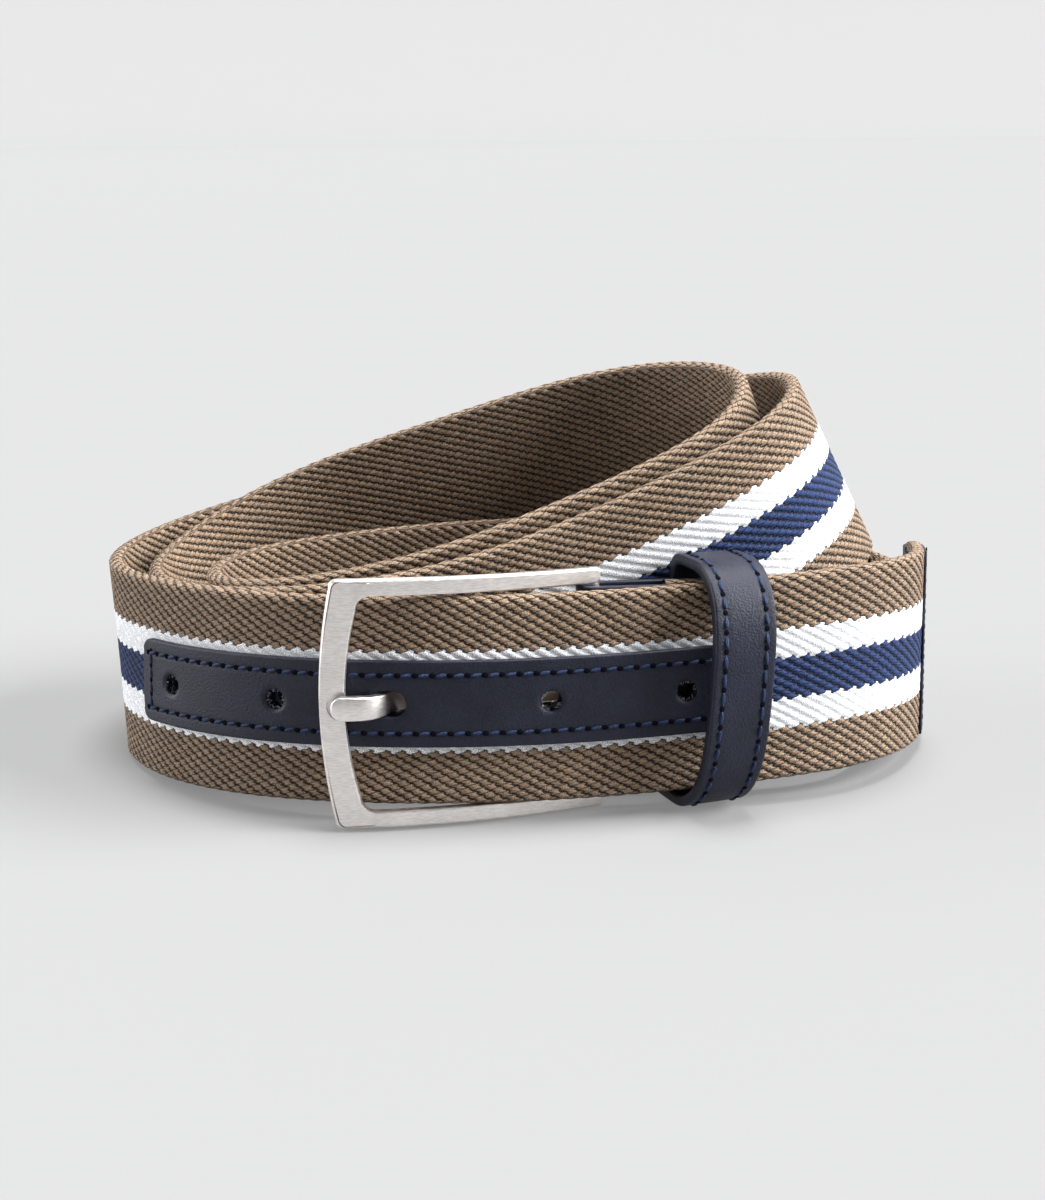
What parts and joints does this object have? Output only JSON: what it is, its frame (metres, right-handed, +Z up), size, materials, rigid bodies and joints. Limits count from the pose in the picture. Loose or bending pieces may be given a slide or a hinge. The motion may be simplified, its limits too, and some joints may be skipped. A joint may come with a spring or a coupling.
{
  "type": "adjustable belt",
  "caption": "Striped elastic webbing belt with leather trims and a single-prong buckle, fastened and coiled on its edge.",
  "frame": {"origin": "middle of the bounding box's bottom face, on the surface that the coiled belt stands on", "axes": "+X along the front strap towards its tip, -Y the side that the buckle faces, +Z up"},
  "size_m": [0.1662, 0.1009, 0.0734],
  "materials": {
    "webbing": "coarse diagonal rib weave, striped olive, white, navy, white, olive",
    "leather": "matte navy with blue stitching",
    "buckle": "satin nickel"
  },
  "bodies": {
    "root": {"webbing": "webbing", "hole_strip": "leather", "tip_cap": "leather", "buckle_tab": "leather", "keeper": "leather", "buckle_frame": "buckle", "prong": "buckle"}
  },
  "joints": []
}
